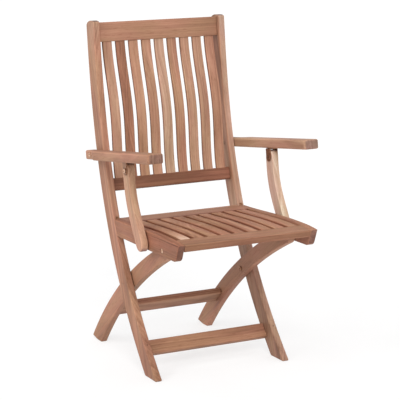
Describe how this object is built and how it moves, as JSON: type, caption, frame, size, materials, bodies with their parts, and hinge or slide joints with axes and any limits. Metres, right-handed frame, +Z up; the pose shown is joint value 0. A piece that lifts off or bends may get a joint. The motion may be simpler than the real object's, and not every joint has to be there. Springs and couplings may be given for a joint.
{
  "type": "folding armchair",
  "caption": "Folding slatted wooden armchair with a high curved back, crossed legs, flat armrests on hinged supports and brass fittings.",
  "frame": {"origin": "on the floor under the middle of the whole open chair", "axes": "+X across the chair to the sitter's left, -Y the way the sitter looks, +Z up"},
  "size_m": [0.506, 0.6672, 0.9513],
  "materials": {
    "teak_frame": "sanded, oiled teak",
    "teak_slats": "sanded, oiled teak",
    "brass": "dulled, antique brass"
  },
  "bodies": {
    "back_frame": {"right_stile": "teak_frame", "left_stile": "teak_frame", "top_rail": "teak_frame", "lower_back_rail": "teak_frame", "front_stretcher": "teak_frame", "back_slat_1": "teak_slats", "back_slat_2": "teak_slats", "back_slat_3": "teak_slats", "back_slat_4": "teak_slats", "back_slat_5": "teak_slats", "back_slat_6": "teak_slats", "back_slat_7": "teak_slats", "back_slat_8": "teak_slats", "back_slat_9": "teak_slats", "right_crossing_bolt": "brass", "left_crossing_bolt": "brass", "right_crossing_washer": "brass", "left_crossing_washer": "brass", "right_arm_bolt": "brass", "left_arm_bolt": "brass", "right_seat_rest": "brass", "left_seat_rest": "brass"},
    "rear_legs": {"right_rear_leg": "teak_frame", "left_rear_leg": "teak_frame", "rear_stretcher": "teak_frame"},
    "seat": {"right_seat_rail": "teak_frame", "left_seat_rail": "teak_frame", "seat_front_rail": "teak_frame", "seat_rear_rail": "teak_frame", "seat_batten": "teak_frame", "seat_slat_1": "teak_slats", "seat_slat_2": "teak_slats", "seat_slat_3": "teak_slats", "seat_slat_4": "teak_slats", "seat_slat_5": "teak_slats", "seat_slat_6": "teak_slats", "seat_slat_7": "teak_slats", "seat_slat_8": "teak_slats", "seat_slat_9": "teak_slats", "right_seat_bolt": "brass", "left_seat_bolt": "brass", "right_seat_washer": "brass", "left_seat_washer": "brass"},
    "right_arm": {"right_armrest": "teak_frame", "right_arm_bracket": "brass", "right_bracket_bolt": "brass"},
    "left_arm": {"left_armrest": "teak_frame", "left_arm_bracket": "brass", "left_bracket_bolt": "brass"},
    "right_support": {"right_arm_support": "teak_frame", "right_support_stub": "brass"},
    "left_support": {"left_arm_support": "teak_frame", "left_support_stub": "brass"}
  },
  "joints": [
    {"name": "leg_fold", "type": "hinge", "parent": "back_frame", "child": "rear_legs", "pos_m": [0, 0.03839, 0.229], "axis": [-1, 0, 0], "range_deg": [0, 70]},
    {"name": "seat_fold", "type": "hinge", "parent": "rear_legs", "child": "seat", "pos_m": [0, -0.22861, 0.3755], "axis": [1, 0, 0], "range_deg": [0, 145]},
    {"name": "right_arm_fold", "type": "hinge", "parent": "back_frame", "child": "right_arm", "pos_m": [0.2225, 0.17439, 0.578], "axis": [-1, 0, 0], "range_deg": [0, 94.1]},
    {"name": "left_arm_fold", "type": "hinge", "parent": "back_frame", "child": "left_arm", "pos_m": [-0.2225, 0.17439, 0.578], "axis": [-1, 0, 0], "range_deg": [0, 94.1]},
    {"name": "right_support_fold", "type": "hinge", "parent": "right_arm", "child": "right_support", "pos_m": [0.2195, -0.05761, 0.566], "axis": [1, 0, 0], "range_deg": [0, 93.3]},
    {"name": "left_support_fold", "type": "hinge", "parent": "left_arm", "child": "left_support", "pos_m": [-0.2195, -0.05761, 0.566], "axis": [1, 0, 0], "range_deg": [0, 93.3]}
  ],
  "couplings": [
    {"joint": "seat_fold", "follows": "leg_fold", "ratio": 2.0714},
    {"joint": "right_arm_fold", "follows": "leg_fold", "ratio": 1.3431},
    {"joint": "left_arm_fold", "follows": "leg_fold", "ratio": 1.3431},
    {"joint": "right_support_fold", "follows": "leg_fold", "ratio": 1.3315},
    {"joint": "left_support_fold", "follows": "leg_fold", "ratio": 1.3315}
  ]
}
